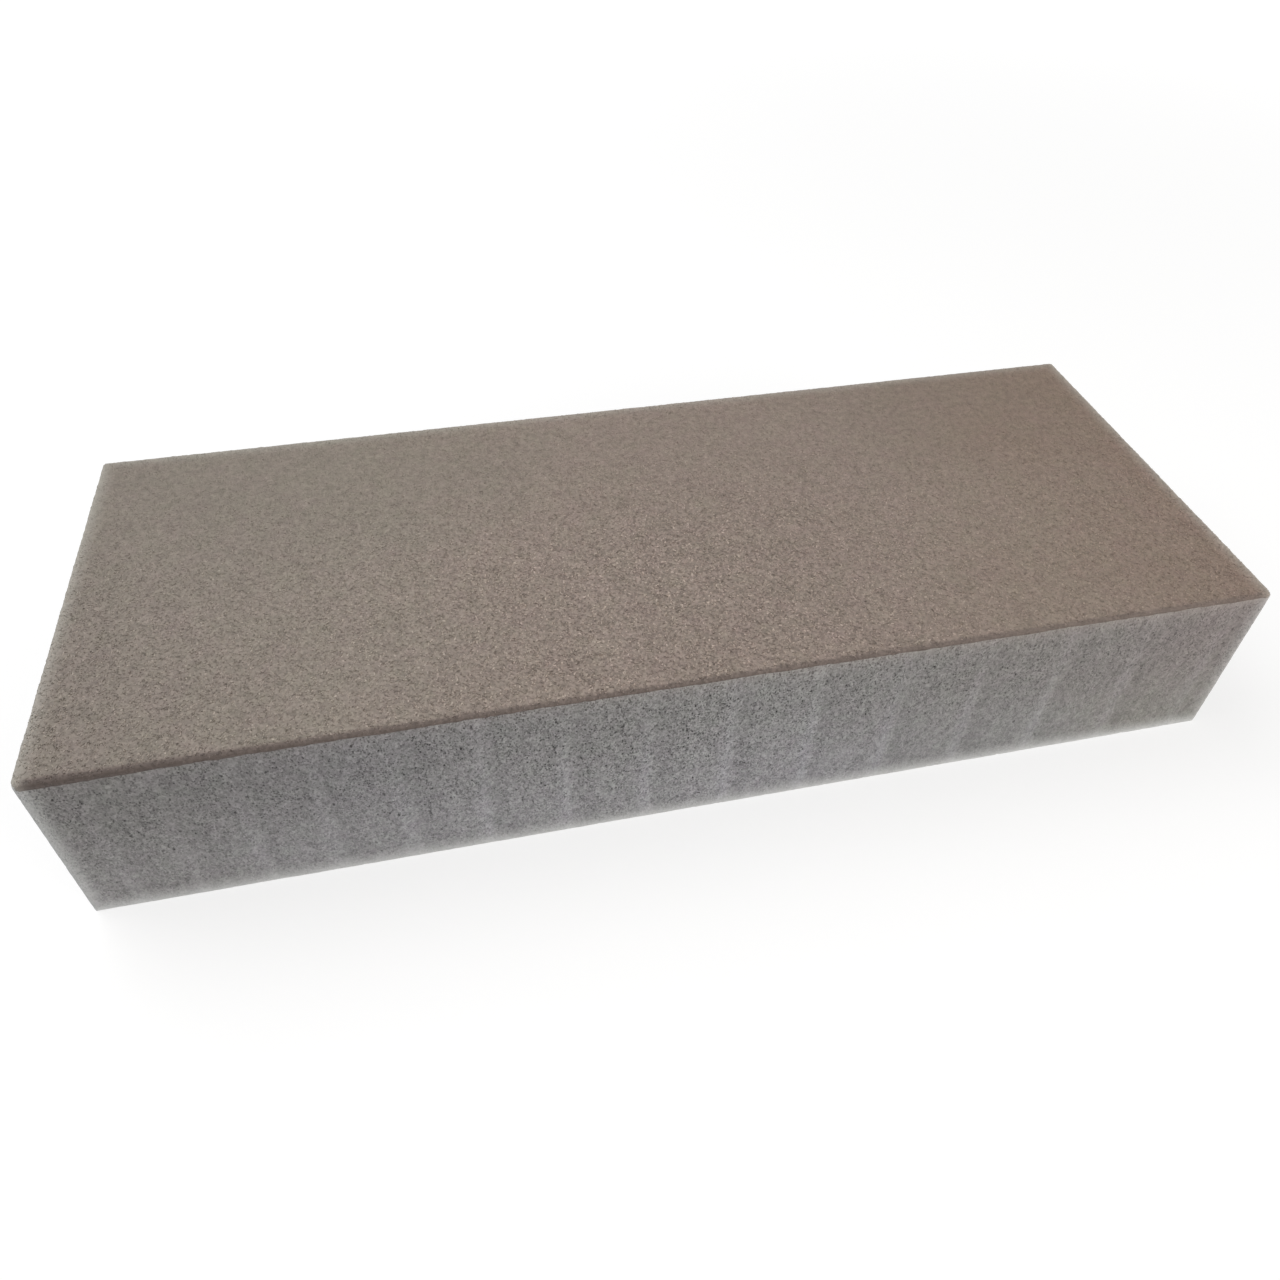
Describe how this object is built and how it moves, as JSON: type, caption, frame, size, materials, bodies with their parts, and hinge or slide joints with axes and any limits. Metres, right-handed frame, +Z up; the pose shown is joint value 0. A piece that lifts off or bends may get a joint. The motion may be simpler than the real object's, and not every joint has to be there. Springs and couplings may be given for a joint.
{
  "type": "abrasive foam block",
  "caption": "Rectangular hand block of grey fine-cell foam, knife-cut on its sides, with a brown fine-grit coat on its top face for rubbing down.",
  "frame": {"origin": "middle of the block's bottom face", "axes": "+X along the block's length, +Y along its width, +Z up through its thickness to the grit coat"},
  "size_m": [0.12, 0.045, 0.0209],
  "materials": {
    "foam": "matt cut foam with fine open pores and faint upright knife marks",
    "grit": "fine brown mineral grit bound in resin, matt with small glints, darker at its rolled rim"
  },
  "bodies": {
    "root": {"foam_block": "foam", "grit_coat": "grit"}
  },
  "joints": []
}
